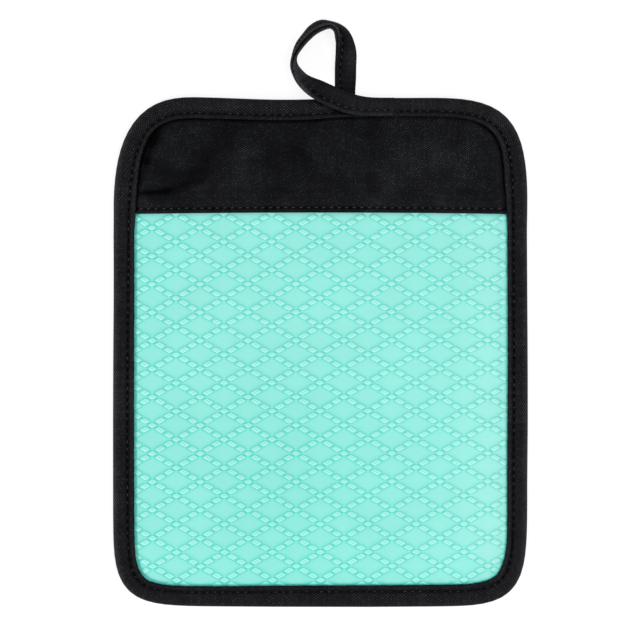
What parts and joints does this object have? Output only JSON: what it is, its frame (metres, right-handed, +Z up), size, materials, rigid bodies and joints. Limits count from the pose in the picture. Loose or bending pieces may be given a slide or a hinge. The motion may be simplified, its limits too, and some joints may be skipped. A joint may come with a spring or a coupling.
{
  "type": "pot holder",
  "caption": "Padded rectangular pot holder with a moulded silicone diamond-lattice front, a cotton top panel, a sewn tape edge and a twisted tape hanging loop.",
  "frame": {"origin": "middle of the flat underside, on the surface that the pot holder lies on", "axes": "+X to the right of the front, +Y along the length towards the hanging loop, +Z up out of the silicone front"},
  "size_m": [0.18, 0.2544, 0.0106],
  "materials": {
    "cotton_panel": "black plain-woven cotton, matt",
    "cotton_tape": "black cotton binding tape, matt",
    "silicone": "mint silicone, satin"
  },
  "bodies": {
    "root": {"silicone_panel": "silicone", "top_panel": "cotton_panel", "back_panel": "cotton_panel", "binding": "cotton_tape", "hanging_loop": "cotton_tape"}
  },
  "joints": []
}
